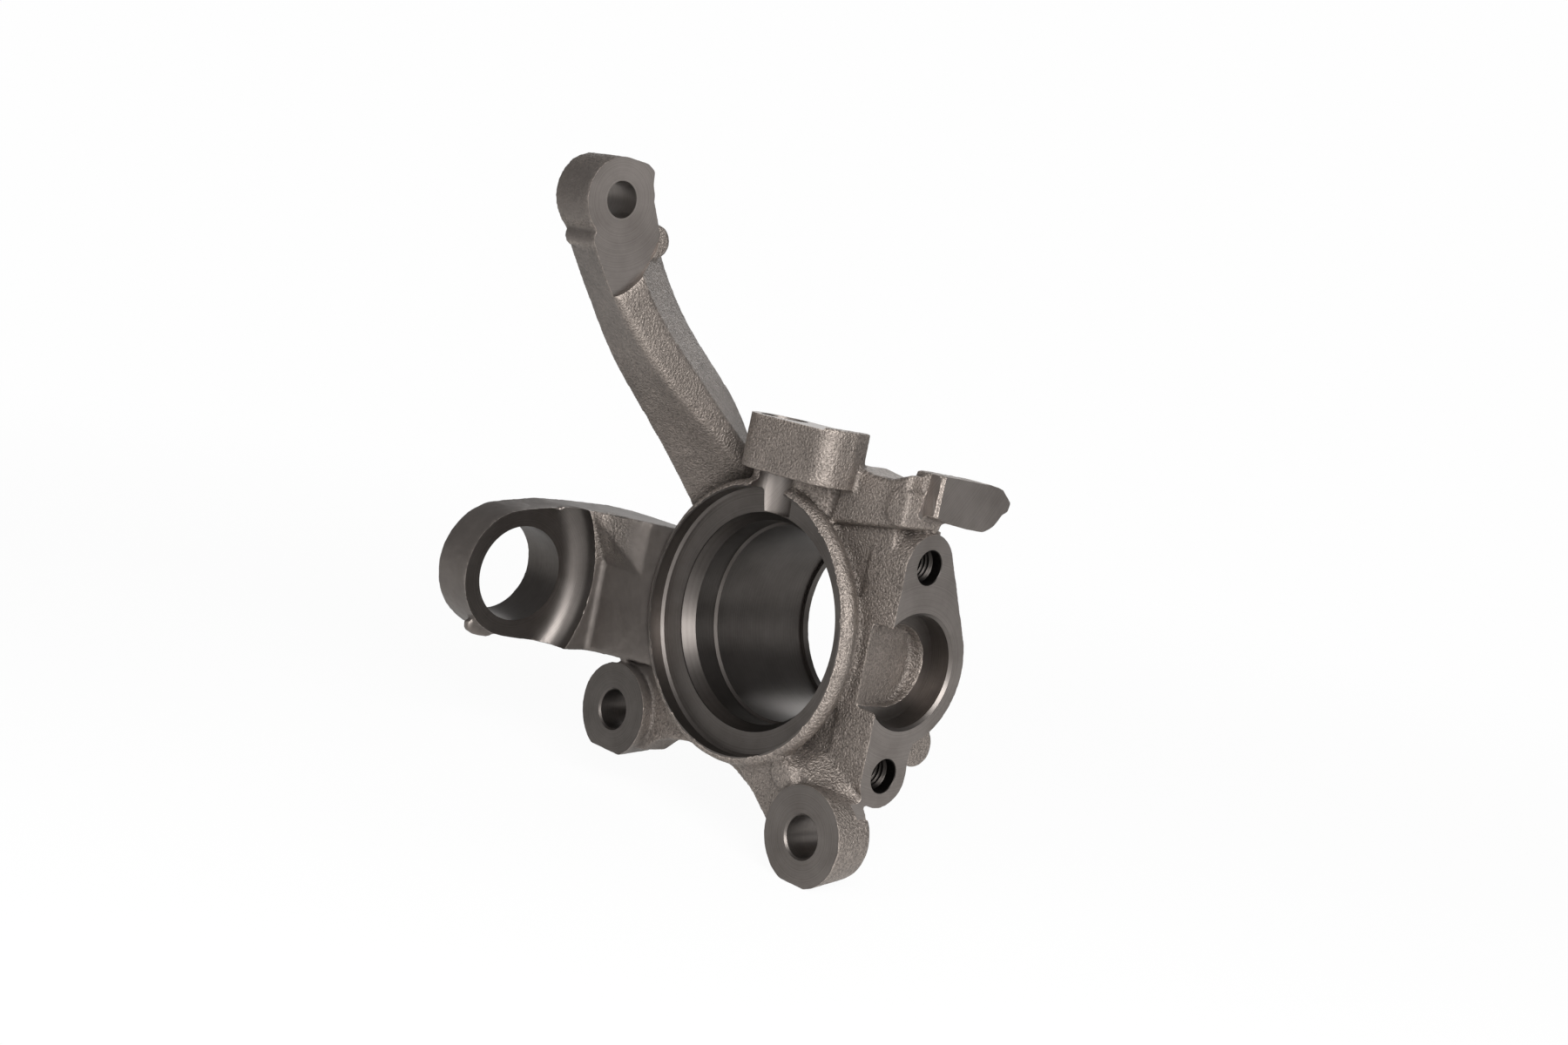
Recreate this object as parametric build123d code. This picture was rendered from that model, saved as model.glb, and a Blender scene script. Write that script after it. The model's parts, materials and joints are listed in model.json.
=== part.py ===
from build123d import *
import os

# Millimetres.  Origin: bearing bore axis on the mouth face of the hub.
# +Y runs along the bore away from the mouth, +X towards the bolting flange, +Z up.

# bearing bore, from the mouth inwards
seat_radius = 42.0            # bearing outer race seat
seat_length = 53.0
seat_lead_in = 1.0            # chamfer at the start of the seat
relief_clearance = 1.2        # the bore ahead of the seat is larger than the seat by this
relief_length = 11.0
lip_height = 1.5              # shoulder the bearing stops against
lip_length = 3.5
mouth_radius = 56.4
mouth_wall_depth = 5.2
mouth_corner = 2.0            # chamfer between the mouth wall and its floor
floor_inner_radius = 46.6
floor_fall = 1.3              # the mouth floor falls this much towards the axis
cone_length = 6.2

# hub casting round the bore
rim_wall = 3.8
rim_land_length = 5.0
rim_edge_width = 3.2          # the cast edge of the rim is eased over this in two steps
rim_edge_step = 0.95
hub_wall = 10.5
hub_draft_drop = 1.5          # the hub tapers by this towards its far end
hub_shoulder_length = 11.0
hub_end_chamfer = 2.5

# plate between the hub and the flange
web_front_y = 16.0
web_back_y = 44.0
web_top_z = 55.0
web_floor = ((60.0, -57.0), (48.0, -66.0), (36.0, -66.0))     # lower edge of the plate, X and Z

# side flange, seen along X
flange_face_x = 70.0
flange_thickness = 20.0
flange_front_y = 15.2
socket_y, socket_z = 31.8, -2.4
socket_radius = 23.0
socket_depth = 10.0
socket_chamfer = 1.2
socket_boss_radius = 31.5
stud_upper_y, stud_upper_z = 29.2, 40.8
stud_lower_y, stud_lower_z = 28.2, -45.7
stud_pad_radius = 13.6
stud_pad_shoulder = 12.2      # half width of the pad where it meets the socket boss
stud_tap_radius = 6.1
stud_mouth_radius = 7.1
stud_depth = 21.0
pocket_radius = 17.0
pocket_floor_x = 56.0
pocket_tilt = 10.0            # degrees, the cast pocket rises towards the mouth side
pocket_lift = 40.0
tab_y, tab_z, tab_radius = 56.0, -36.5, 9.0      # cast tab behind the flange
tab_face_x = 62.0
tab_round = 2.0

# bar across the top of the plate, seen along Y, and its stop block, seen along X
bar_front_y, bar_back_y = 10.0, 32.0
bar_top_z = 73.0
bar_outline = ((27.0, 49.0), (33.5, 75.0), (46.0, 73.0), (57.0, 73.2), (67.0, 76.8), (67.0, 55.0))
bar_round = 2.5
bar_rear_y = 14.0             # the bar falls back to here behind the sensor boss
bar_rear_x = -14.0
bar_rear_slope_y = 22.0       # behind this the bar slopes down to the plate
spot_x, spot_z, spot_radius, spot_height = 66.0, 62.7, 7.4, 0.9     # round cast pad on the bar
stop_face_x = 76.0
stop_width = 15.0
stop_face = ((19.0, 61.5), (37.0, 58.9), (49.8, 58.0), (55.6, 60.9), (59.5, 65.9), (62.6, 67.5),
             (63.6, 71.3), (56.5, 76.6), (50.2, 77.6), (19.0, 78.6))
stop_corner_round = 2.2

# sensor boss on top of the hub
sensor_axis_x, sensor_axis_y = 0.0, 1.8
sensor_hole_radius = 9.8
sensor_wall = 4.0
sensor_right_x = 41.0
sensor_side_y = 3.5           # the boss's side runs straight back to here
sensor_back_x, sensor_back_y = 37.5, 15.0
sensor_bottom_z, sensor_top_z = 64.0, 86.5
sensor_hole_end_z = 46.2
sensor_corner_radius = 8.0
sensor_root_y = 3.0           # the hub swells up to the boss behind this
sensor_root_z = 50.0

# caliper lugs, both faces lie in the mouth plane
lug_left_x, lug_left_z = -67.9, -57.8
lug_lower_x, lug_lower_z = 58.3, -73.9
lug_radius = 20.8
lug_back_radius = 18.5
lug_lean = 1.5                # the lower lug leans this far right and up towards its back
lug_hole_radius = 8.7
lug_length = 21.0
lug_back_chamfer = 2.5
lug_left_floor_z, lug_lower_floor_z = -76.2, -93.5     # the lugs are flat below
lug_stand_out = 6.5           # how far the left lug stands out of the web behind it
web_thickness = 14.0
lower_web = ((-80.0, -45.0), (-80.0, -60.0), (-62.0, -74.0), (-50.0, -71.5), (-43.0, -65.0), (-35.0, -61.5),
             (-24.0, -59.5), (-2.0, -59.8), (8.0, -62.0), (22.0, -68.0), (40.0, -50.0), (0.0, -45.0),
             (-50.0, -20.0))
neck_front_y, neck_back_y = 4.0, 19.0
neck_front = ((8.0, -57.0), (23.0, -67.5), (37.0, -78.0), (60.0, -86.0), (72.0, -66.0), (60.0, -55.0),
              (47.0, -49.5), (33.0, -46.0))
neck_back = ((4.0, -56.0), (21.0, -66.5), (36.0, -78.0), (62.0, -86.0), (75.0, -62.0), (66.0, -49.0),
             (50.0, -40.0), (28.0, -40.0))
lump_x, lump_z, lump_face_y = 40.0, -54.4, 1.2       # cast lump beside the lower lug
lump_long, lump_short = 8.3, 6.0
lump_turn = -25.0             # degrees
lump_round = 2.5

# left arm and its bushing eye
eye_y, eye_z = -35.3, -6.9
eye_face_x = -106.0
eye_length = 24.0
eye_bore_radius = 21.4
eye_outer_radius = 28.8
eye_back_chamfer = 3.0
ear = ((-57.0, -30.0), (-56.0, -34.0), (-52.0, -36.0), (-44.0, -37.0), (-40.0, -30.0))     # under the eye
ear_front_x, ear_back_x = -107.5, -111.5
arm_front_y, arm_back_y = 2.0, 26.0
arm_root_gain = 4.0           # the arm thickens by this towards the hub
arm_elbow_radius = 16.0
arm_top_eye_z, arm_bottom_eye_z = 25.5, -39.5
arm_eye_fall = 1.0            # the eye's back edge is lower than its face by this, above and below
arm_top_root_z, arm_bottom_root_z = 28.0, -33.0
arm_draft_drop = 3.0          # the arm's top and bottom close by this towards its back
arm_step_x = -95.0            # ridge between the eye's spot face and the arm's flat
arm_step_radius = 2.5         # corner left by the cutter of the arm's flat
swell_y, swell_end_x = -11.0, -68.0       # the cast skin swells out to the eye above the flat
swell_bottom_z, swell_top_z = 3.0, 26.0
spot_blend_radius = 11.0      # corner radius of the cutter that faced the eye
eye_spot_radius = 60.0
eye_spot_y = -63.0

# upper arm and its boss
boss_y, boss_z = -83.8, 158.2
boss_face_x = -25.0
boss_length = 21.0
boss_outer_radius = 16.4
boss_hole_radius = 7.2
boss_wing = ((0.0, 16.4), (9.8, 15.9), (13.4, 14.0), (14.9, 4.4), (17.8, -1.2), (22.8, -10.5), (11.8, -26.2),
             (-6.2, -17.2))   # the rest of the boss's outline, from the boss's centre
boss_spot_radius = 35.8       # face cutter that cleaned the boss
boss_spot_y, boss_spot_z = -97.0, 152.0
nub_y, nub_z, nub_radius = -50.0, 146.0, 7.0     # cast nub behind the boss
nub_face_x = -39.0
nub_chamfer = 1.5
arm_root_y, arm_root_z = 10.0, 60.0   # the arm runs from the boss's centre to here, inside the hub
arm_cast_x = -22.0            # cast front skin of the upper arm
arm_rear_x = -50.0
arm_edge_round = 3.0
# the arm's four edges: share of the way from boss to root, and distance off that line
front_left_edge = ((0.05, -20.0), (0.31, -22.7), (0.59, -16.8), (0.88, -5.8), (1.30, 6.0))
front_right_edge = ((0.05, -2.5), (0.33, -8.3), (0.60, -4.0), (0.85, 1.6), (1.30, 20.0))
rear_left_edge = ((0.05, -14.2), (0.31, -18.8), (0.50, -20.4), (0.76, -18.4), (0.97, -17.5), (1.30, -18.0))
rear_right_edge = ((0.24, 24.5), (0.43, 20.1), (0.62, 20.6), (0.80, 24.0), (1.00, 25.0), (1.30, -4.0))

big = 300.0                   # longer than any feature that a cutting tool passes through


def slab_x(sketch, x0, x1):
    return extrude(Plane.YZ.offset(x0) * sketch, amount=x1 - x0)


def slab_y(sketch, y0, y1):
    return extrude(Plane.XZ.offset(-y0) * sketch, amount=y0 - y1)


def slab_z(sketch, z0, z1):
    return extrude(Plane.XY.offset(z0) * sketch, amount=z1 - z0)


def disc(u, v, radius):
    return Pos(u, v) * Circle(radius)


def area(*points):
    return make_face(Polyline(*points, close=True))


def spun(*points):
    """Profile of (radius, y) corners turned about the bore axis."""
    return revolve(area(*points), Axis.Y)


def hub_length():
    return (mouth_wall_depth + mouth_corner + floor_fall + cone_length
            + relief_length + seat_lead_in + seat_length + lip_length)


def hub():
    rim = mouth_radius + rim_wall
    body = seat_radius + hub_wall
    shoulder = rim_land_length + hub_shoulder_length
    end = hub_length()
    blank = spun((0, 0), (rim - rim_edge_width, 0), (rim - rim_edge_step, rim_edge_step), (rim, rim_edge_width),
                 (rim, rim_land_length), (body, shoulder), (body - hub_draft_drop, end), (0, end))
    return chamfer(blank.edges().group_by(Axis.Y)[-1], hub_end_chamfer)


def bore():
    relief = seat_radius + relief_clearance
    lip = seat_radius - lip_height
    y1 = mouth_wall_depth
    y2 = y1 + mouth_corner
    y3 = y2 + floor_fall
    y4 = y3 + cone_length
    y5 = y4 + relief_length
    y6 = y5 + seat_lead_in
    y7 = y6 + seat_length
    return spun((0, -big), (mouth_radius, -big), (mouth_radius, y1), (mouth_radius - mouth_corner, y2),
                (floor_inner_radius, y3), (relief, y4), (relief, y5), (seat_radius, y6),
                (seat_radius, y7), (lip, y7), (lip, big), (0, big))


def web():
    """Plate from the hub to the flange."""
    inside = flange_face_x - flange_thickness / 2
    outline = area((0, floor_inner_radius), (inside, web_top_z), (inside, stud_lower_z), *web_floor,
                   (0, -floor_inner_radius))
    return slab_y(outline, web_front_y, web_back_y)


def flange():
    upper = disc(stud_upper_y, stud_upper_z, stud_pad_radius)
    boss = disc(socket_y, socket_z, socket_boss_radius)
    shape = make_hull(upper.edges() + boss.edges())
    shape += disc(stud_lower_y, stud_lower_z, stud_pad_radius)
    shape += area((flange_front_y, stud_lower_z), (stud_lower_y + stud_pad_shoulder, stud_lower_z),
                  (socket_y + stud_pad_radius, socket_z), (flange_front_y, stud_upper_z))
    keep = area((flange_front_y, -big), (big, -big), (big, big), (flange_front_y, big))
    tab = make_hull(disc(tab_y, tab_z, tab_radius).edges() + disc(socket_y, socket_z, tab_radius).edges())
    tab = slab_x(tab, flange_face_x - flange_thickness, tab_face_x)
    tab = fillet(tab.faces().sort_by(Axis.X)[-1].edges(), tab_round)
    return slab_x(shape & keep, flange_face_x - flange_thickness, flange_face_x) + tab


def bar():
    front = slab_y(area(*bar_outline), bar_front_y, bar_back_y)
    front = fillet(front.faces().sort_by(Axis.Y)[0].edges(), bar_round)
    joint_x = bar_outline[0][0] + bar_round
    rear = slab_x(area((bar_rear_y, sensor_hole_end_z), (bar_rear_y, bar_top_z),
                       (bar_rear_slope_y, bar_top_z), (web_back_y, sensor_hole_end_z)), bar_rear_x, joint_x)
    slope = slab_x(area((bar_rear_slope_y, web_top_z), (bar_rear_slope_y, bar_top_z), (bar_back_y, bar_top_z),
                        (web_back_y, web_top_z)), joint_x, flange_face_x - flange_thickness)
    spot = slab_y(disc(spot_x, spot_z, spot_radius), bar_front_y - spot_height, bar_back_y)
    inside = area((0, 0), (flange_face_x - spot_height, 0), (flange_face_x - spot_height, big), (0, big))
    return front + rear + slope + (spot & slab_y(inside, 0, bar_back_y))


def stop_block():
    block = slab_x(area(*stop_face), stop_face_x - stop_width, stop_face_x)
    corner = block.edges().filter_by(Axis.Z).sort_by(Axis.X)[-1]
    return fillet(corner, stop_corner_round)


def sensor_boss():
    radius = sensor_hole_radius + sensor_wall
    front = sensor_axis_y - radius
    plan = area((sensor_axis_x, front), (sensor_right_x, front), (sensor_right_x, sensor_side_y),
                (sensor_back_x, sensor_back_y), (sensor_axis_x, sensor_back_y))
    corner = plan.vertices().sort_by_distance((sensor_right_x, front))[0]
    plan = fillet(corner, sensor_corner_radius) + disc(sensor_axis_x, sensor_axis_y, radius)
    upper = slab_z(plan, sensor_bottom_z, sensor_top_z)
    root_x = bar_outline[0][0]
    swell = area((-radius, sensor_root_y), (root_x - radius, sensor_root_y), (root_x, bar_rear_y),
                 (-radius, bar_rear_y))
    return upper + slab_z(swell, sensor_root_z, sensor_bottom_z)


def lug(x, z, lean, floor_z):
    front = Plane.XZ * disc(x, z, lug_radius)
    back = Plane.XZ.offset(-lug_length) * disc(x + lean, z + lean, lug_back_radius)
    body = loft([front, back])
    body = chamfer(body.edges().group_by(Axis.Y)[-1], lug_back_chamfer)
    return body - slab_z(Rectangle(big, big), floor_z - big, floor_z)


def lugs():
    web_behind = slab_y(area(*lower_web), lug_stand_out, lug_stand_out + web_thickness)
    neck = loft([Plane.XZ.offset(-neck_front_y) * area(*neck_front),
                 Plane.XZ.offset(-neck_back_y) * area(*neck_back)], ruled=True)
    lump = slab_y(Pos(lump_x, lump_z) * Rot(0, 0, lump_turn) * Ellipse(lump_long, lump_short),
                  lump_face_y, neck_back_y)
    lump = fillet(lump.faces().sort_by(Axis.Y)[0].edges(), lump_round)
    return lug(lug_left_x, lug_left_z, 0, lug_left_floor_z) \
        + lug(lug_lower_x, lug_lower_z, lug_lean, lug_lower_floor_z) + web_behind + neck + lump


def left_arm():
    rear = eye_face_x - eye_length
    inside = -floor_inner_radius
    tall = eye_outer_radius * 2
    depth = arm_back_y + arm_root_gain
    # plan of the cranked arm: along X beside the hub, then forward to the eye
    plan = area((rear, eye_y - tall), (rear, arm_back_y), (inside, depth),
                (inside, arm_front_y), (arm_step_x, arm_front_y), (arm_step_x, eye_y - tall))
    outer = plan.vertices().sort_by(Axis.X)[0:2].sort_by(Axis.Y)[-1]
    plan = fillet(outer, arm_elbow_radius)
    inner = plan.vertices().sort_by_distance((arm_step_x, arm_front_y))[0]
    plan = fillet(inner, arm_step_radius)
    # the same arm seen along X and along Y
    shank = area((arm_front_y, arm_top_root_z), (depth, arm_top_root_z - arm_draft_drop),
                 (depth, arm_bottom_eye_z + arm_draft_drop), (arm_front_y, arm_bottom_eye_z))
    side = slab_x(make_hull(disc(eye_y, eye_z, eye_outer_radius).edges() + shank.edges()), rear, inside)
    side = chamfer(side.faces().sort_by(Axis.X)[0].edges(), eye_back_chamfer)
    front = area((rear, arm_top_eye_z - arm_eye_fall), (eye_face_x, arm_top_eye_z), (inside, arm_top_root_z),
                 (inside, arm_bottom_root_z), (eye_face_x, arm_bottom_eye_z),
                 (rear, arm_bottom_eye_z + arm_eye_fall))
    swell = slab_z(area((arm_step_x, swell_y), (arm_step_x, arm_back_y), (swell_end_x, arm_front_y)),
                   -tall, tall)
    swell &= slab_x(area((arm_front_y, swell_bottom_z), (swell_y, swell_top_z), (swell_y, tall),
                         (arm_back_y, tall), (arm_back_y, swell_bottom_z)), arm_step_x, swell_end_x)
    arm = (slab_z(plan, -tall, tall) + swell) & side & slab_y(front, eye_y - tall, depth)
    # face cutter with a rounded corner that left the spot face and its round wall
    floor = eye_spot_radius - spot_blend_radius
    tool = area((0, 0), (0, floor), (spot_blend_radius, floor), (spot_blend_radius, eye_spot_radius),
                (big, eye_spot_radius), (big, 0))
    tool += disc(spot_blend_radius, floor, spot_blend_radius) & area((0, 0), (big, 0), (big, big), (0, big))
    arm += slab_x(area(*ear), ear_back_x, ear_front_x)
    return arm - Pos(eye_face_x, eye_spot_y, eye_z) * revolve(tool, Axis.X)


def arm_point(edge_point):
    """Place, in Y and Z, of a point given by its share of the arm's line and its distance off it."""
    share, off = edge_point
    run = Vector(arm_root_y - boss_y, arm_root_z - boss_z)
    across = Vector(-run.Y, run.X).normalized()
    place = Vector(boss_y, boss_z) + run * share + across * off
    return place.X, place.Y


def arm_section(left_edge, right_edge, x):
    left = Spline(*[arm_point(p) for p in left_edge])
    right = Spline(*[arm_point(p) for p in right_edge])
    outline = make_face([left, Line(left @ 1, right @ 1), right, Line(right @ 0, left @ 0)])
    return Plane.YZ.offset(x) * outline


def upper_arm():
    arm = loft([arm_section(front_left_edge, front_right_edge, arm_cast_x),
                arm_section(rear_left_edge, rear_right_edge, arm_rear_x)], ruled=True)
    skin = arm.faces().sort_by(Axis.X)[-1]
    return fillet(skin.edges().sort_by(SortBy.LENGTH)[-2:], arm_edge_round)


def upper_boss():
    shape = disc(boss_y, boss_z, boss_outer_radius)
    shape += area(*[(boss_y + y, boss_z + z) for y, z in boss_wing])
    nub = slab_x(disc(nub_y, nub_z, nub_radius), arm_rear_x, nub_face_x)
    nub = chamfer(nub.edges().group_by(Axis.X)[-1], nub_chamfer)
    return slab_x(shape, boss_face_x - boss_length, boss_face_x) + nub


def threaded_hole(y, z):
    hole = slab_x(disc(y, z, stud_tap_radius), flange_face_x - stud_depth, flange_face_x)
    depth = stud_mouth_radius - stud_tap_radius
    mouth = Pos(flange_face_x, y, z) * Rot(0, 90, 0) * Cone(
        stud_tap_radius, stud_mouth_radius, depth, align=(Align.CENTER, Align.CENTER, Align.MAX))
    return hole + mouth


def socket():
    """Counterbore in the flange with the cast pocket that opens it towards the mouth side."""
    round_part = slab_x(disc(socket_y, socket_z, socket_radius), flange_face_x - socket_depth, big)
    rim = Pos(flange_face_x, socket_y, socket_z) * Rot(0, 90, 0) * Cone(
        socket_radius, socket_radius + socket_chamfer, socket_chamfer,
        align=(Align.CENTER, Align.CENTER, Align.MAX))
    slot = disc(0, 0, pocket_radius) + area((0, pocket_radius), (-big, pocket_radius),
                                            (-big, -pocket_radius), (0, -pocket_radius))
    where = Plane(origin=(pocket_floor_x, socket_y, socket_z), x_dir=(0, 1, 0), z_dir=(1, 0, 0))
    return round_part + rim + extrude(where.rotated((0, 0, pocket_tilt)) * slot, amount=pocket_lift)


def knuckle():
    body = hub() + left_arm() + upper_arm() + upper_boss() + lugs()
    body += web() + flange() + bar() + stop_block() + sensor_boss()
    body -= bore() + socket()
    body -= slab_x(disc(eye_y, eye_z, eye_bore_radius), -big, eye_face_x + spot_blend_radius)
    body -= slab_x(disc(boss_y, boss_z, boss_hole_radius), -big, 0)
    body -= slab_x(disc(boss_spot_y, boss_spot_z, boss_spot_radius), boss_face_x, 0)
    for x, z in ((lug_left_x, lug_left_z), (lug_lower_x, lug_lower_z)):
        body -= slab_y(disc(x, z, lug_hole_radius), -big, web_back_y)
    for y, z in ((stud_upper_y, stud_upper_z), (stud_lower_y, stud_lower_z)):
        body -= threaded_hole(y, z)
    body -= slab_z(disc(sensor_axis_x, sensor_axis_y, sensor_hole_radius), sensor_hole_end_z, big)
    return body


os.makedirs("parts", exist_ok=True)
export_step(knuckle(), "parts/knuckle.step")
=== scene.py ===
# Steering knuckle: one iron casting with a sand-cast skin, machined where something bolts or seats on it.
import bpy
import json
import numpy as np
from math import cos, hypot, pi, radians, sin
from mathutils import Matrix, Vector


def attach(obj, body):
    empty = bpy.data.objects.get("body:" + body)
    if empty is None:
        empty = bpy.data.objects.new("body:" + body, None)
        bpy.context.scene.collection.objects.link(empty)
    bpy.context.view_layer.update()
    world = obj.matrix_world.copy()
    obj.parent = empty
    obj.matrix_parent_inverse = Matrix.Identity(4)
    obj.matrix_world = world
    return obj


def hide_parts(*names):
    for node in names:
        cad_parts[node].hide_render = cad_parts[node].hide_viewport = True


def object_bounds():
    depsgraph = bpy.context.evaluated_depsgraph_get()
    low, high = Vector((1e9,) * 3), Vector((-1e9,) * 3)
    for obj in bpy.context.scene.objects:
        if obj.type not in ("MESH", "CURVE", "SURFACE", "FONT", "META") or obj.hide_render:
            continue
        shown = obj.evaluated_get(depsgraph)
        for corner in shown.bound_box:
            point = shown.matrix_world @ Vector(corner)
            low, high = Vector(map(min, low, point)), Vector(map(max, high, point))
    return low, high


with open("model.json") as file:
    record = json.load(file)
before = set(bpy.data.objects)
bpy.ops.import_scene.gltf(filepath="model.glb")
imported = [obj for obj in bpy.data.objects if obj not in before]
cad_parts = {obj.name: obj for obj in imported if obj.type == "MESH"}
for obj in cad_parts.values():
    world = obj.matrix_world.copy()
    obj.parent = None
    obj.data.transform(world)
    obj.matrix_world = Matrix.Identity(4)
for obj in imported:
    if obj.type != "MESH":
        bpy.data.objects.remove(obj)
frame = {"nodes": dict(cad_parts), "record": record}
cadLow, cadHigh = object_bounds()
mounts = {m["name"]: m for m in frame["record"]["mounts"]}
mm = 0.001


def mountPlace(name):
    return [v / mm for v in mounts[name]["pos_m"]]


# places in mm that the pieces of this script share
eyeX, eyeY, eyeZ = mountPlace("bushing_eye")
eyeRadius = mounts["bushing_eye"]["dims"]["r_mm"]
linkX, linkY, linkZ = mountPlace("upper_link_hole")
sensorX, sensorY, sensorZ = mountPlace("sensor_hole")
studs = [(29.2, 40.8), (28.2, -45.7)]            # Y and Z of the stud holes in the flange
lugs = [(-67.9, -57.8), (58.3, -73.9)]           # X and Z of the caliper lugs
flangeX, socketY, socketZ = 70.0, 31.8, -2.4     # face of the flange, and the middle of its socket
bossX, eyeFaceX, stopX, barTopZ = -25.0, -106.0, 76.0, 86.5     # the other machined planes


def toLinear(hexColour):
    parts = [int(hexColour[i:i + 2], 16) / 255 for i in (1, 3, 5)]
    return [p / 12.92 if p <= 0.04045 else ((p + 0.055) / 1.055) ** 2.4 for p in parts] + [1.0]


def addNode(tree, kind, links=(), values=(), **options):
    # links are (input, what feeds it) and values are (input, constant)
    node = tree.nodes.new("ShaderNode" + kind)
    for name, option in options.items():
        setattr(node, name, option)
    for socket, value in values:
        node.inputs[socket].default_value = value
    for socket, source in links:
        tree.links.new(source, node.inputs[socket])
    return node


def onlySelect(obj):
    bpy.ops.object.select_all(action="DESELECT")
    obj.select_set(True)
    bpy.context.view_layer.objects.active = obj


def applyAll(obj):
    onlySelect(obj)
    for modifier in list(obj.modifiers):
        bpy.ops.object.modifier_apply(modifier=modifier.name)


def clearOff(obj):
    mesh = obj.data
    bpy.data.objects.remove(obj)
    bpy.data.meshes.remove(mesh)


# materials

castLook = {
    "base": "#7a726c",          # shot-blasted iron, warm grey
    "worn": "#8d847d",          # crests of the sand grain
    "pit": "#655e59",           # pits of the sand grain
    "shadedSmoothSkin": "#645e5a",        # skin where the mould was smoother, darker than even the pits as painted shade
    "toneAt": (0.34, 0.5, 0.7),     # where on the grain the tones pit, base and worn stand
    "grainMm": 1.0,             # sand grain as it shows in the skin
    "cloudMm": 14.0,            # slow change of tone over the skin
    "cloudTone": (0.86, 1.1),       # its darkest and its lightest
    "bumpMm": 0.85,
    "roughness": 0.47,
    "metallic": 0.8,
}


def newMaterial(name):
    material = bpy.data.materials.new(name)
    material.use_nodes = True
    tree = material.node_tree
    return material, tree, tree.nodes["Principled BSDF"]


def finishIron(tree, shader, colour, bump, look):
    tree.links.new(colour.outputs["Vector"], shader.inputs["Base Color"])
    tree.links.new(bump.outputs["Normal"], shader.inputs["Normal"])
    shader.inputs["Roughness"].default_value = look["roughness"]
    shader.inputs["Metallic"].default_value = look["metallic"]


def sandCastIron(look):
    # grey iron as it leaves the sand mould and the shot blast: a matt, finely pimpled skin
    material, tree, shader = newMaterial("sandCastIron")
    place = addNode(tree, "TexCoord").outputs["Object"]
    grain = addNode(tree, "TexNoise", [("Vector", place)],
                    [("Scale", 1 / (look["grainMm"] * mm)), ("Detail", 3.0), ("Roughness", 0.55),
                     ("Distortion", 0.2)])
    cloud = addNode(tree, "TexNoise", [("Vector", place)],
                    [("Scale", 1 / (look["cloudMm"] * mm)), ("Detail", 4.0), ("Roughness", 0.6)])
    tone = addNode(tree, "ValToRGB", [("Fac", grain.outputs["Fac"])])
    pitAt, baseAt, wornAt = look["toneAt"]
    first, last = tone.color_ramp.elements
    first.position, first.color = pitAt, toLinear(look["pit"])
    last.position, last.color = wornAt, toLinear(look["worn"])
    tone.color_ramp.elements.new(baseAt).color = toLinear(look["base"])
    darkest, lightest = look["cloudTone"]
    shade = addNode(tree, "MapRange", [("Value", cloud.outputs["Fac"])],
                    [("From Min", 0.3), ("From Max", 0.7), ("To Min", darkest), ("To Max", lightest)])
    # the first mask is 1 where the mould was smoother, darker there as painted shade; the second is -1 in
    # valleys and 1 on ridges
    calmShade = addNode(tree, "Attribute", attribute_name="calmShade", attribute_type="GEOMETRY").outputs["Fac"]
    paintedLightShadeAndWear = addNode(tree, "Attribute", attribute_name="paintedLightShadeAndWear", attribute_type="GEOMETRY").outputs["Fac"]
    plain = addNode(tree, "Mix", [("Factor", calmShade), (6, tone.outputs["Color"])],
                    [(7, toLinear(look["shadedSmoothSkin"]))], data_type="RGBA")
    # painted shade halves the colour in valleys; painted highlight and shot-blast wear double it on ridges
    # and machined edges
    paintedLightShadeScale = addNode(tree, "Math", [(1, paintedLightShadeAndWear)], [(0, 2.0)], operation="POWER")
    light = addNode(tree, "Math", [(0, paintedLightShadeScale.outputs["Value"]), (1, shade.outputs["Result"])],
                    operation="MULTIPLY")
    colour = addNode(tree, "VectorMath", [(0, plain.outputs[2]), (3, light.outputs["Value"])],
                     operation="SCALE")
    coarse = addNode(tree, "Math", [(1, calmShade)], [(0, 1.0)], operation="SUBTRACT")
    bump = addNode(tree, "Bump", [("Height", grain.outputs["Fac"]), ("Strength", coarse.outputs["Value"])],
                   [("Distance", look["bumpMm"] * mm)])
    finishIron(tree, shader, colour, bump, look)
    return material


machinedLook = {
    "base": "#69635f",
    "bright": "#837d79",
    "toneAt": (0.45, 0.9545),       # where on the tool marks the two tones stand
    "ringMm": 0.5,              # feed of the tool, drawn a little coarser than it is so that it shows
    "ringShare": 0.5,           # of the tool's rings against the smears
    "smearMm": 20.0,
    "roughness": 0.4,
    "metallic": 1.0,
    "bumpMm": 0.008,
}

axisVector = {"X": (1, 0, 0), "Y": (0, 1, 0)}


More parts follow.
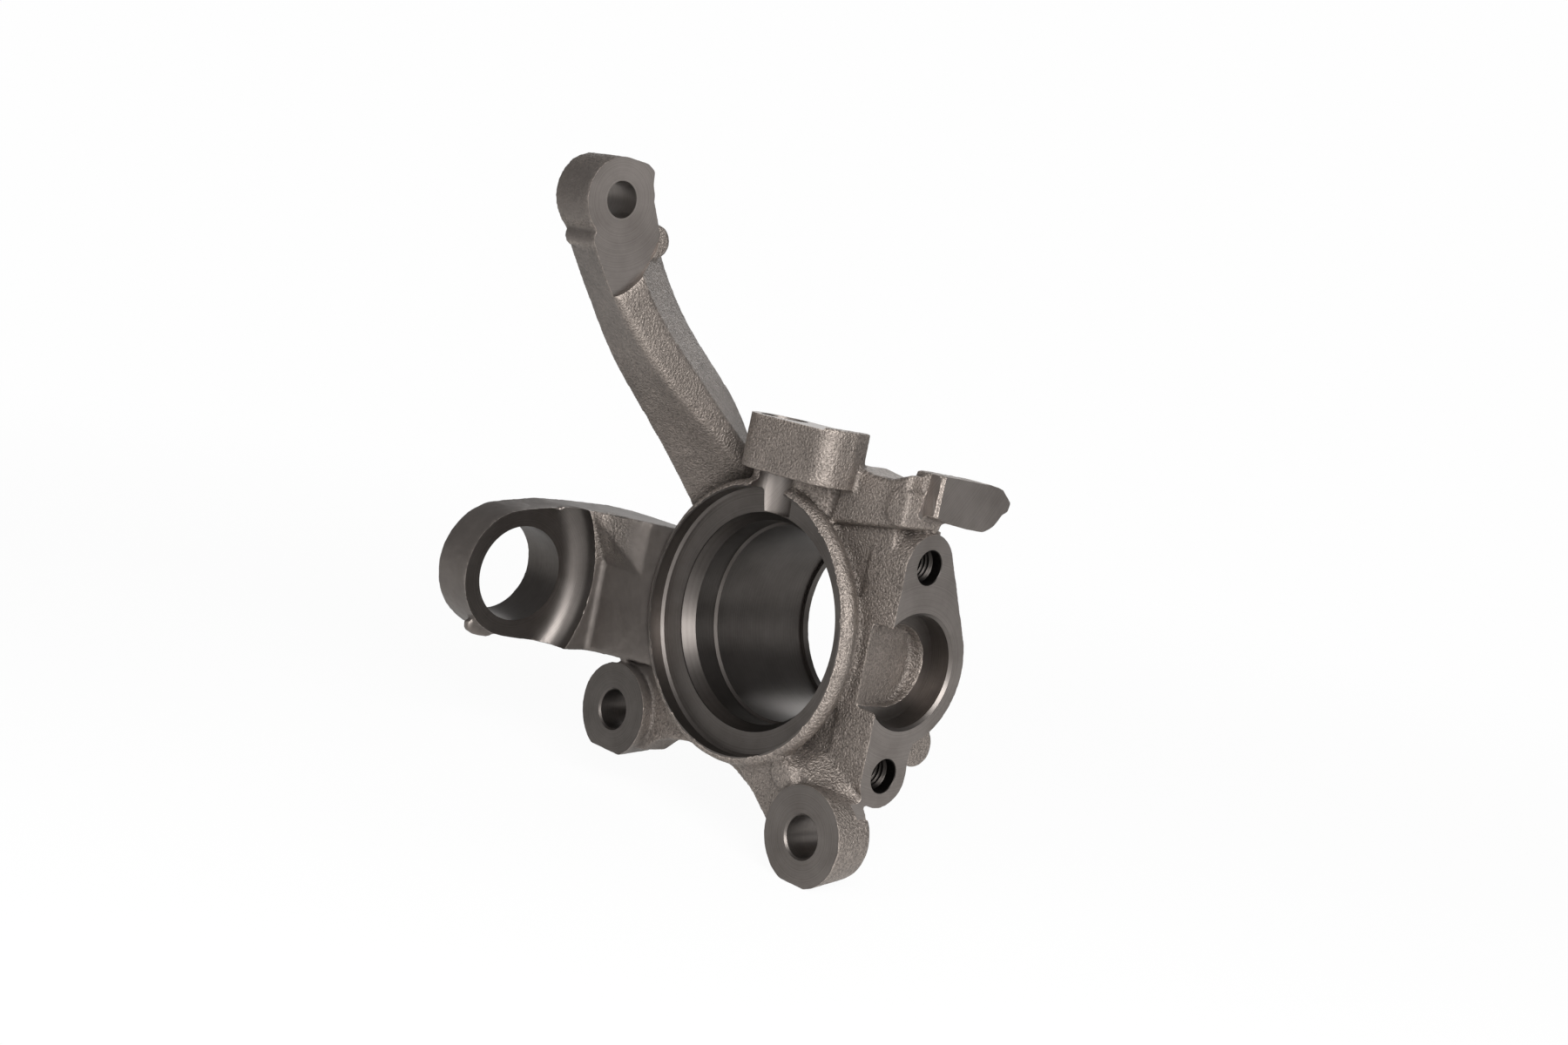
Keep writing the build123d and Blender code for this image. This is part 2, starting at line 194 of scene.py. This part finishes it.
def machinedIron(name, look, centre, axis, shade):
    # grey iron cut on a lathe or mill: satin, with fine marks that run round the tool's own axis
    material, tree, shader = newMaterial(name)
    centre, along = [v * mm for v in centre], axisVector[axis]
    place = addNode(tree, "TexCoord").outputs["Object"]
    centred = addNode(tree, "VectorMath", [(0, place)], [(1, centre)], operation="SUBTRACT")
    fromCentre = centred.outputs["Vector"]
    forward = addNode(tree, "VectorMath", [(0, fromCentre)], [(1, along)], operation="DOT_PRODUCT")
    outward = [1 - a for a in along]
    flat = addNode(tree, "VectorMath", [(0, fromCentre)], [(1, outward)], operation="MULTIPLY")
    radius = addNode(tree, "VectorMath", [(0, flat.outputs["Vector"])], operation="LENGTH")
    travel = addNode(tree, "Math", [(0, radius.outputs["Value"]), (1, forward.outputs["Value"])],
                     operation="ADD")
    rings = addNode(tree, "TexNoise", [("W", travel.outputs["Value"])],
                    [("Scale", 1 / (look["ringMm"] * mm)), ("Detail", 2.0)], noise_dimensions="1D")
    smear = addNode(tree, "TexNoise", [("Vector", place)],
                    [("Scale", 1 / (look["smearMm"] * mm)), ("Detail", 5.0), ("Roughness", 0.6)])
    both = addNode(tree, "Math", [(0, rings.outputs["Fac"]), (2, smear.outputs["Fac"])],
                   [(1, look["ringShare"])], operation="MULTIPLY_ADD")
    tone = addNode(tree, "ValToRGB", [("Fac", both.outputs["Value"])])
    for stop, at, colour in zip(tone.color_ramp.elements, look["toneAt"], (look["base"], look["bright"])):
        stop.position, stop.color = at, toLinear(colour)
    bump = addNode(tree, "Bump", [("Height", rings.outputs["Fac"])],
                   [("Strength", 1.0), ("Distance", look["bumpMm"] * mm)])
    # the shade factor scales the tone: painted shade below 1, painted light above 1
    colour = addNode(tree, "VectorMath", [(0, tone.outputs["Color"])], [(3, shade)], operation="SCALE")
    finishIron(tree, shader, colour, bump, look)
    return material


# tools that machine the casting, each a closed solid whose faces carry the finish it leaves

aimTurn = {"X": (0, pi / 2, 0), "Y": (-pi / 2, 0, 0), "Z": (0, 0, 0)}


def aimTool(tool, axis, at, material):
    # turns a tool that was made along Z to its own axis, and moves it to its place
    tool.rotation_euler = aimTurn[axis]
    tool.location = [v * mm for v in at]
    onlySelect(tool)
    bpy.ops.object.transform_apply(location=True, rotation=True, scale=True)
    tool.data.materials.append(material)
    return tool


def turnedTool(name, axis, at, steps, material, sides):
    # steps are (distance along the axis, radius) in mm, from the tool's first end to its last
    (start, radius), rest = steps[0], steps[1:]
    bpy.ops.mesh.primitive_circle_add(vertices=sides, radius=radius * mm, fill_type="NGON",
                                      location=(0, 0, start * mm))
    tool = bpy.context.object
    tool.name = name
    bpy.ops.object.transform_apply(location=True, rotation=True, scale=True)
    bpy.ops.object.mode_set(mode="EDIT")
    bpy.ops.mesh.select_all(action="SELECT")
    for distance, nextRadius in rest:
        step, growth = (distance - start) * mm, nextRadius / radius
        bpy.ops.mesh.extrude_region_move(TRANSFORM_OT_translate={"value": (0, 0, step)})
        bpy.ops.transform.resize(value=(growth, growth, 1), center_override=(0, 0, distance * mm))
        start, radius = distance, nextRadius
    bpy.ops.mesh.select_all(action="SELECT")
    bpy.ops.mesh.normals_make_consistent(inside=False)
    bpy.ops.object.mode_set(mode="OBJECT")
    return aimTool(tool, axis, at, material)


def blockTool(name, low, high, material):
    middle = [(a + b) / 2 * mm for a, b in zip(low, high)]
    bpy.ops.mesh.primitive_cube_add(size=1, location=middle)
    tool = bpy.context.object
    tool.name = name
    tool.scale = [(b - a) * mm for a, b in zip(low, high)]
    bpy.ops.object.transform_apply(location=True, rotation=True, scale=True)
    tool.data.materials.append(material)
    return tool


def threadTool(name, axis, at, thread, material):
    # one closed V wire wound up a helix, as a tap leaves it
    bpy.ops.mesh.primitive_circle_add(vertices=3, radius=1, rotation=(pi / 2, 0, 0))
    tool = bpy.context.object
    tool.name = name
    bpy.ops.object.transform_apply(location=True, rotation=True, scale=True)
    foot, tip = thread["holeMm"] - thread["overlapMm"], thread["holeMm"] + thread["depthMm"]
    halfFoot = thread["footShare"] / 2 * thread["pitchMm"]
    for vertex, (out, up) in zip(tool.data.vertices, [(foot, -halfFoot), (foot, halfFoot), (tip, 0)]):
        vertex.co = (out * mm, 0, up * mm)
    wind = tool.modifiers.new("wind", "SCREW")
    wind.axis = "Z"
    wind.screw_offset = thread["pitchMm"] * mm
    wind.iterations = thread["turns"]
    wind.steps = wind.render_steps = thread["stepsPerTurn"]
    applyAll(tool)
    bpy.ops.object.mode_set(mode="EDIT")
    bpy.ops.mesh.select_all(action="SELECT")
    bpy.ops.mesh.fill_holes(sides=3)
    bpy.ops.mesh.normals_make_consistent(inside=False)
    bpy.ops.object.mode_set(mode="OBJECT")
    return aimTool(tool, axis, at, material)


def machine(piece, tool):
    cut = piece.modifiers.new("cut", "BOOLEAN")
    cut.operation = "DIFFERENCE"
    cut.solver = "EXACT"
    cut.object = tool
    cut.material_mode = "TRANSFER"
    applyAll(piece)
    clearOff(tool)


# the casting

casting = {
    "weldMm": 0.002,            # points of the solid's mesh that are closer than this are one
    "voxelMm": 0.95,
    "smoothing": 4,
    "keepShare": 0.5,           # of the skin's triangles, kept where they show most
    "stockMm": 1.2,             # what the machinist takes off
    "onPlaneMm": 0.05,          # a face that is this near a machined plane,
    "squareOn": 0.999,          # and this square on it, gets stock
    "waveMm": 9.0,              # waviness of the sand mould
    "waveDepthMm": 0.36,
    "lumpMm": 2.2,
    "lumpDepthMm": 0.28,
    "plugSides": 64,
    "ridgeSmoothing": 2,
    "valleyLimit": 0.24,        # how deep a valley lies when its painted shade is at its darkest
    "ridgeLimit": 0.5,          # how proud a ridge stands when its painted highlight and polish are full
    "smoothAngle": 24,          # degrees, past which an edge stays sharp
}

rimRadius = 61.6                # the hub's rim lies inside this radius and gets no stock
bossFromZ = 100                 # above this height the plane at bossX is the link boss alone

flats = [  # planes that get machining stock: axis, place in mm, facing, and where on the plane
    ("Y", 0.0, -1, lambda x, z: hypot(x, z) > rimRadius),
    ("X", flangeX, 1, lambda y, z: True),
    ("X", bossX, 1, lambda y, z: z > bossFromZ),
    ("X", eyeFaceX, 1, lambda y, z: True),
    ("X", stopX, 1, lambda y, z: True),
    ("Z", barTopZ, 1, lambda x, y: True),
]

plugs = [  # what fills the holes and cut corners of the solid: axis, middle, radius and length in mm
    ("Y", (0, 5.6, 0), 57.4, 11.2),                  # mouth of the hub
    ("Y", (0, 41, 0), 45, 84),                       # its bore
    ("X", (-116.5, eyeY, eyeZ), 22.4, 23),
    ("X", (linkX, linkY, linkZ), 8.2, 20),
    ("Z", (sensorX, sensorY, 75), 10.8, 21),
    ("X", (64, *studs[0]), 8.2, 30),
    ("X", (64, *studs[1]), 8.2, 30),
    ("X", (-34, -89.5, 141.5), 4.0, 20),             # corners of the link boss, under its hole
    ("X", (-34, -66.5, 143), 5.5, 20),
    ("X", (-34, -68.5, 137), 4.2, 20),
    ("X", (60, 19, -64.5), 5, 19),                   # low corner of the flange
    ("Y", (lugs[0][0], 10, lugs[0][1]), 9.6, 20),
    ("Y", (lugs[1][0], 10, lugs[1][1]), 9.6, 20),
]


def addPlug(axis, at, radius, length, sides):
    bpy.ops.mesh.primitive_cylinder_add(vertices=sides, radius=radius * mm, depth=length * mm,
                                        location=[v * mm for v in at], rotation=aimTurn[axis])
    bpy.ops.object.transform_apply(location=True, rotation=True, scale=True)
    return bpy.context.object


def addStock(piece, plane, settings):
    # draws out the faces of one machined plane, with the piece in edit mode before and after
    axis, place, facing, where = plane
    index = "XYZ".index(axis)
    bpy.ops.mesh.select_all(action="DESELECT")
    bpy.ops.object.mode_set(mode="OBJECT")
    for face in piece.data.polygons:
        spot = [v / mm for v in face.center]
        others = [v for i, v in enumerate(spot) if i != index]
        onPlane = abs(spot[index] - place) < settings["onPlaneMm"]
        square = face.normal[index] * facing > settings["squareOn"]
        face.select = onPlane and square and where(*others)
    bpy.ops.object.mode_set(mode="EDIT")
    bpy.ops.mesh.select_mode(type="FACE")
    shift = [0, 0, 0]
    shift[index] = facing * settings["stockMm"] * mm
    bpy.ops.mesh.extrude_region_move(TRANSFORM_OT_translate={"value": shift})


def blank(settings, material):
    # the casting as it comes out of the sand, with its holes filled and stock where it is machined
    source = frame["nodes"]["knuckle"]
    piece = source.copy()
    piece.data = source.data.copy()
    piece.parent = None
    piece.name = "ironCasting"
    bpy.context.scene.collection.objects.link(piece)
    piece.hide_render = False
    onlySelect(piece)
    bpy.ops.object.mode_set(mode="EDIT")
    bpy.ops.mesh.select_all(action="SELECT")
    bpy.ops.mesh.remove_doubles(threshold=settings["weldMm"] * mm)
    for plane in flats:
        addStock(piece, plane, settings)
    bpy.ops.mesh.select_mode(type="VERT")
    bpy.ops.object.mode_set(mode="OBJECT")
    fillings = [addPlug(*plug, settings["plugSides"]) for plug in plugs]
    onlySelect(piece)
    for filling in fillings:
        filling.select_set(True)
    bpy.ops.object.join()
    remesh = piece.modifiers.new("skin", "REMESH")
    remesh.mode = "VOXEL"
    remesh.voxel_size = settings["voxelMm"] * mm
    soft = piece.modifiers.new("castRadii", "SMOOTH")
    soft.iterations = settings["smoothing"]
    for name in ("wave", "lump"):
        texture = bpy.data.textures.new(name, "CLOUDS")
        texture.noise_scale = settings[name + "Mm"] * mm
        texture.noise_depth = 1
        skin = piece.modifiers.new(name, "DISPLACE")
        skin.texture = texture
        skin.texture_coords = "LOCAL"
        skin.strength = settings[name + "DepthMm"] * mm
    thin = piece.modifiers.new("thin", "DECIMATE")
    thin.ratio = settings["keepShare"]
    applyAll(piece)
    piece.data.materials.clear()
    piece.data.materials.append(material)
    return piece


machining = {  # profiles are (distance along the tool's axis, radius) in mm
    "wideSides": 128,           # facets of a wide turned face
    "eyeSides": 96,             # of the eye's bore and the socket
    "holeSides": 64,
    "studSides": 48,
    # painted shade and light of each machined face against machinedLook: darker in bores, holes and socket
    "paintedShading": {"mouth": 0.6, "seat": 0.42, "eye": 0.5, "milled": 1.05, "flange": 1.0, "tapped": 0.15,
               "socket": 0.6, "lugs": (0.52, 0.7)},
    "mouth": [(-30, 56.4), (6.0, 56.4), (7.1, 55.3), (8.5, 46.6)],
    "bore": [(0, 46.2), (9.2, 46.2), (14.7, 43.2), (25.7, 43.2), (26.7, 42.0), (79.7, 42.0), (79.7, 40.5),
             (110, 40.5)],
    "rimFace": [(-20, 57.3), (0.1, 57.3)],
    "lugFace": [(-20, 24.5), (0, 24.5)],
    "lugHole": [(-20, 10.7), (-1.2, 10.7), (0.8, 8.7), (40, 8.7)],
    "eyeWall": [(0, 49.6), (0.25, 52), (1, 54.4), (2.2, 56.5), (3.8, 58.1), (5.7, 59.4), (8, 60.2),
                (11, 60.5), (60, 60.5)],
    "eyeWallY": -63,            # the eye's facing cutter stands forward of the eye
    "eyeBore": [(-22, eyeRadius), (38, eyeRadius)],
    "bossFace": [(0, 35.8), (40, 35.8)],
    "bossMiddle": (-97, 152),   # Y and Z of the cutter that faces the link boss
    "linkHole": [(-24.5, 7.2), (35.5, 7.2)],
    "socket": [(-10.6, 23.5), (-1.2, 23.5), (5, 29.7), (20, 29.7)],
    "studHole": [(-21, 6.1), (-6.0, 6.1), (-5.0, 7.1), (-0.3, 7.1), (1.2, 8.6), (10, 8.6)],
    "sensorHole": [(-20.15, 10), (39.85, 10)],
    "blocks": {                 # lowest and highest corner of what each end mill takes away
        "flangeMill": ((flangeX, 12, -70), (75, 80, 56.5)),
        "stopMill": ((stopX, 10, 50), (80, 70, 90)),
        "stopEndMill": ((69.2, 5, 50), (90, 19.4, 90)),
        "topMill": ((-20, -20, barTopZ), (36, 20, 95)),
    },
    "thread": {
        "holeMm": 6.1,          # radius of the hole that is tapped
        "pitchMm": 2.0,
        "depthMm": 0.9,
        "overlapMm": 0.3,       # the wire's foot stands this far inside the hole
        "footShare": 0.92,      # of the pitch
        "turns": 9,
        "stepsPerTurn": 36,
        "fromFace": -18,        # where the wire begins, in mm from the flange's face
    },
}


def machineAll(piece, cuts):
    paintedShading, blocks, thread = cuts["paintedShading"], cuts["blocks"], cuts["thread"]
    wide, middling, small = cuts["wideSides"], cuts["eyeSides"], cuts["holeSides"]
    hub, eye, socket = (0, 0, 0), (eyeX, eyeY, eyeZ), (flangeX, socketY, socketZ)

    def iron(name, centre, axis, shade):
        return machinedIron(name, machinedLook, centre, axis, shade)

    def turn(name, axis, at, profile, finish, sides=wide):
        machine(piece, turnedTool(name, axis, at, profile, finish, sides))

    def mill(name, finish):
        machine(piece, blockTool(name, *blocks[name], finish))

    # copies of one machined iron, each with its own painted shade, darkest in the bores and holes
    turned = iron("turnedIron", hub, "Y", paintedShading["mouth"])
    seated = iron("seatIron", hub, "Y", paintedShading["seat"])
    bored = iron("boredIron", eye, "X", paintedShading["eye"])
    milled = iron("milledIron", (bossX, linkY, linkZ), "X", paintedShading["milled"])
    flangeIron = iron("facedIron", socket, "X", paintedShading["flange"])
    socketIron = iron("socketIron", socket, "X", paintedShading["socket"])
    tapped = iron("tappedIron", socket, "X", paintedShading["tapped"])
    lugIrons = [iron("lugFaceIron" + side, (x, 0, z), "Y", shade)
                for side, (x, z), shade in zip(("Left", "Lower"), lugs, paintedShading["lugs"])]
    turn("mouthCutter", "Y", hub, cuts["mouth"], turned)
    turn("boringBar", "Y", hub, cuts["bore"], seated)
    turn("rimCutter", "Y", hub, cuts["rimFace"], turned)
    for (x, z), lugIron in zip(lugs, lugIrons):
        turn("spotCutter", "Y", (x, 0, z), cuts["lugFace"], lugIron)
        turn("lugDrill", "Y", (x, 0, z), cuts["lugHole"], lugIron, small)
    turn("eyeCutter", "X", (eyeFaceX, cuts["eyeWallY"], eyeZ), cuts["eyeWall"], bored)
    turn("eyeBar", "X", eye, cuts["eyeBore"], bored, middling)
    turn("bossCutter", "X", (bossX, *cuts["bossMiddle"]), cuts["bossFace"], milled)
    turn("linkDrill", "X", (linkX, linkY, linkZ), cuts["linkHole"], milled, small)
    mill("flangeMill", flangeIron)
    turn("socketBar", "X", socket, cuts["socket"], socketIron, middling)
    for y, z in studs:
        turn("studDrill", "X", (flangeX, y, z), cuts["studHole"], tapped, cuts["studSides"])
        machine(piece, threadTool("tap", "X", (flangeX + thread["fromFace"], y, z), thread, tapped))
    turn("sensorDrill", "Z", (sensorX, sensorY, sensorZ), cuts["sensorHole"], milled, small)
    for name in ("stopMill", "stopEndMill", "topMill"):
        mill(name, milled)
    print("machined", len(piece.data.polygons), "faces")


skinBands = {  # an axis, and the places in mm from where a change of the skin begins to where it is full
    "eye": [("x", -40, -58)],
    "swell": [("z", -2, 5), ("y", 3, -3), ("x", -97, -94), ("x", -72, -84)],
    "upperArm": [("z", 60, 85), ("x", -15, -30)],
    # painted shade on the front of the arm above the swell
    "paintedShadeZone": [("z", 0, 8), ("y", 1, -4), ("x", -89, -84), ("x", -54, -62)],
}

skinShares = {
    "swellRough": 0.9,          # of the eye's smoothness and painted shade, lost on the swell beside it
    # share of the upper arm's forward side that gets the smoother skin and its painted shade
    "armCalmShade": 0.8,
    "armFacing": (-0.6, -0.9),      # how squarely the upper arm's broad side looks forward
    # how dark the painted shade on the arm above the swell goes
    "paintedShadeDepth": 0.9,
}


def rise(value, start, end):
    share = min(max((value - start) / (end - start), 0.0), 1.0)
    return share * share * (3 - 2 * share)


def within(at, zone):
    share = 1.0
    for axis, start, end in skinBands[zone]:
        share *= rise(getattr(at, axis), start, end)
    return share


def calmShadeShare(at, facing):
    # 1 where the mould was smoother and the skin is painted darker as shade: the eye and the flat beside
    # it, and the broad side of the upper arm
    eye = within(at, "eye") * (1 - skinShares["swellRough"] * within(at, "swell"))
    side = within(at, "upperArm") * rise(facing.y, *skinShares["armFacing"])
    return max(eye, skinShares["armCalmShade"] * side)


def proudness(mesh, settings):
    # -1 in the valleys of the skin, painted as shade, and 1 on its ridges, painted as highlight where the
    # shot blast also polished it
    tiny = 1e-9
    ends = np.array([e.vertices[:] for e in mesh.edges])
    places = np.array([v.co[:] for v in mesh.vertices])
    normals = np.array([v.normal[:] for v in mesh.vertices])
    gaps = places[ends[:, 0]] - places[ends[:, 1]]
    gaps /= np.linalg.norm(gaps, axis=1, keepdims=True) + tiny
    both = [(ends[:, 0], ends[:, 1]), (ends[:, 1], ends[:, 0])]
    share = np.zeros(len(places))
    number = np.zeros(len(places)) + tiny
    for sign, (own, other) in zip((1, -1), both):
        np.add.at(share, own, sign * (gaps * normals[own]).sum(axis=1))
        np.add.at(number, own, 1)
    share /= number
    for turn in range(settings["ridgeSmoothing"]):
        total = share * number
        for own, other in both:
            np.add.at(total, own, share[other])
        share = total / (2 * number)
    limits = np.where(share < 0, settings["valleyLimit"], settings["ridgeLimit"])
    return np.clip(share / limits, -1, 1).tolist()


def markSkin(piece, settings):
    # the cast skin's outermost row of points along each machined face gets a painted highlight, a bright
    # lip
    mesh = piece.data
    skin = [i for i, m in enumerate(mesh.materials) if m.name == "sandCastIron"]
    cast, cut = set(), set()
    for face in mesh.polygons:
        (cast if face.material_index in skin else cut).update(face.vertices)
    calmShade = mesh.attributes.new("calmShade", "FLOAT", "POINT")
    calmShade.data.foreach_set("value", [calmShadeShare(v.co / mm, v.normal) for v in mesh.vertices])
    values = proudness(mesh, settings)
    for vertex in mesh.vertices:
        # painted shade on the arm above the swell
        values[vertex.index] -= skinShares["paintedShadeDepth"] * within(vertex.co / mm, "paintedShadeZone")
    # painted highlight on the lip along each machined edge
    for i in cast & cut:
        values[i] = 1.0
    paintedLightShadeAndWear = mesh.attributes.new("paintedLightShadeAndWear", "FLOAT", "POINT")
    paintedLightShadeAndWear.data.foreach_set("value", values)


# studio

camera = {
    "azimuth": 44.5886,
    "elevation": 5.7873,
    "roll": 11.6552,
    "placeMm": (552.6, -546.8, 122.8),
    "lensMm": 43.34,
    "sensorMm": 36,
    "seesM": (0.01, 50),        # nearest and farthest
}

studio = {
    "floor": "#fbfbfa",
    "floorSize": 6,             # metres across
    "floorRoughness": 0.9,
    "backdrop": "#fefefe",
    "ambient": 0.24,
    "paper": 0.95,              # share of plain white in the floor as the camera sees it, near the knuckle
    "paperFade": (0.2, 1.4),        # metres out, between which that share rises to 1
}

lamps = {  # place and aim in metres, width and height in metres, watts
    "key": ((0.88, -0.5, 0.42), (0.03, 0, 0.03), (0.8, 0.6), 20.0),
    "side": ((0.92, 0.8, 0.38), (0, 0, 0.1), (0.8, 0.45), 1.2),
    "back": ((-0.8, 1.0, 0.7), (0, 0, 0.03), (0.8, 0.6), 4.0),            # for views from behind
    "fill": ((0.1, -1.2, 0.4), (0, 0, 0.02), (0.8, 0.6), 4.0),
}


def takeCamera(settings):
    a, e, roll = (radians(settings[k]) for k in ("azimuth", "elevation", "roll"))
    toward = Vector((sin(a) * cos(e), -cos(a) * cos(e), sin(e)))
    right = Vector((cos(a), sin(a), 0))
    up = toward.cross(right)
    across = right * cos(roll) + up * sin(roll)
    over = -right * sin(roll) + up * cos(roll)
    data = bpy.data.cameras.new("camera")
    data.lens = settings["lensMm"]
    data.sensor_width = settings["sensorMm"]
    data.clip_start, data.clip_end = settings["seesM"]
    view = bpy.data.objects.new("camera", data)
    bpy.context.scene.collection.objects.link(view)
    turn = Matrix((across, over, toward)).transposed().to_4x4()
    view.matrix_world = Matrix.Translation(Vector(settings["placeMm"]) * mm) @ turn
    bpy.context.scene.camera = view
    bpy.context.scene.view_settings.view_transform = "Standard"


def softbox(name, place, aim, size, watts):
    bpy.ops.object.light_add(type="AREA", location=place)
    lamp = bpy.context.object
    lamp.name = name
    lamp.data.shape = "RECTANGLE"
    lamp.data.size, lamp.data.size_y = size
    lamp.data.energy = watts
    lamp.rotation_euler = (Vector(aim) - Vector(place)).to_track_quat("-Z", "Y").to_euler()


def lightRoom(settings):
    world = bpy.data.worlds.new("room")
    bpy.context.scene.world = world
    world.use_nodes = True
    tree = world.node_tree
    tree.nodes.clear()
    path = addNode(tree, "LightPath")
    seen = addNode(tree, "Math", [(0, path.outputs["Is Camera Ray"]),
                                  (1, path.outputs["Is Transmission Ray"])], operation="MAXIMUM")
    ambient = addNode(tree, "Background", (),
                      [("Strength", settings["ambient"]), ("Color", toLinear("#ffffff"))])
    white = addNode(tree, "Background", (), [("Strength", 1.0), ("Color", toLinear(settings["backdrop"]))])
    mixed = addNode(tree, "MixShader", [(0, seen.outputs["Value"]), (1, ambient.outputs["Background"]),
                                        (2, white.outputs["Background"])])
    out = addNode(tree, "OutputWorld")
    tree.links.new(mixed.outputs["Shader"], out.inputs["Surface"])
    for name, lamp in lamps.items():
        softbox(name, *lamp)


def layFloor(settings, lowest):
    # far out the floor turns into plain white, and near the knuckle it still takes its shadow
    bpy.ops.mesh.primitive_plane_add(size=settings["floorSize"], location=(0, 0, lowest))
    floor = bpy.context.object
    floor.name = "floor"
    material, tree, shader = newMaterial("matteWhiteFloor")
    shader.inputs["Base Color"].default_value = toLinear(settings["floor"])
    shader.inputs["Roughness"].default_value = settings["floorRoughness"]
    place = addNode(tree, "TexCoord").outputs["Object"]
    away = addNode(tree, "VectorMath", [(0, place)], operation="LENGTH")
    near, far = settings["paperFade"]
    fade = addNode(tree, "MapRange", [("Value", away.outputs["Value"])],
                   [("From Min", near), ("From Max", far), ("To Min", settings["paper"]), ("To Max", 1.0)],
                   interpolation_type="SMOOTHSTEP")
    seen = addNode(tree, "LightPath").outputs["Is Camera Ray"]
    share = addNode(tree, "Math", [(0, fade.outputs["Result"]), (1, seen)], operation="MULTIPLY")
    paper = addNode(tree, "Emission", (), [("Strength", 1.0), ("Color", toLinear(settings["backdrop"]))])
    mixed = addNode(tree, "MixShader", [(0, share.outputs["Value"]), (1, shader.outputs["BSDF"]),
                                        (2, paper.outputs["Emission"])])
    tree.links.new(mixed.outputs["Shader"], tree.nodes["Material Output"].inputs["Surface"])
    floor.data.materials.append(material)


print("materials")
castSkin = sandCastIron(castLook)
print("blank")
knuckle = blank(casting, castSkin)
print("machining")
machineAll(knuckle, machining)
onlySelect(knuckle)
bpy.ops.object.shade_smooth_by_angle(angle=radians(casting["smoothAngle"]))
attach(knuckle, "root")
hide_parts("knuckle")
markSkin(knuckle, casting)
print("studio")
takeCamera(camera)
lightRoom(studio)
layFloor(studio, cadLow[2])
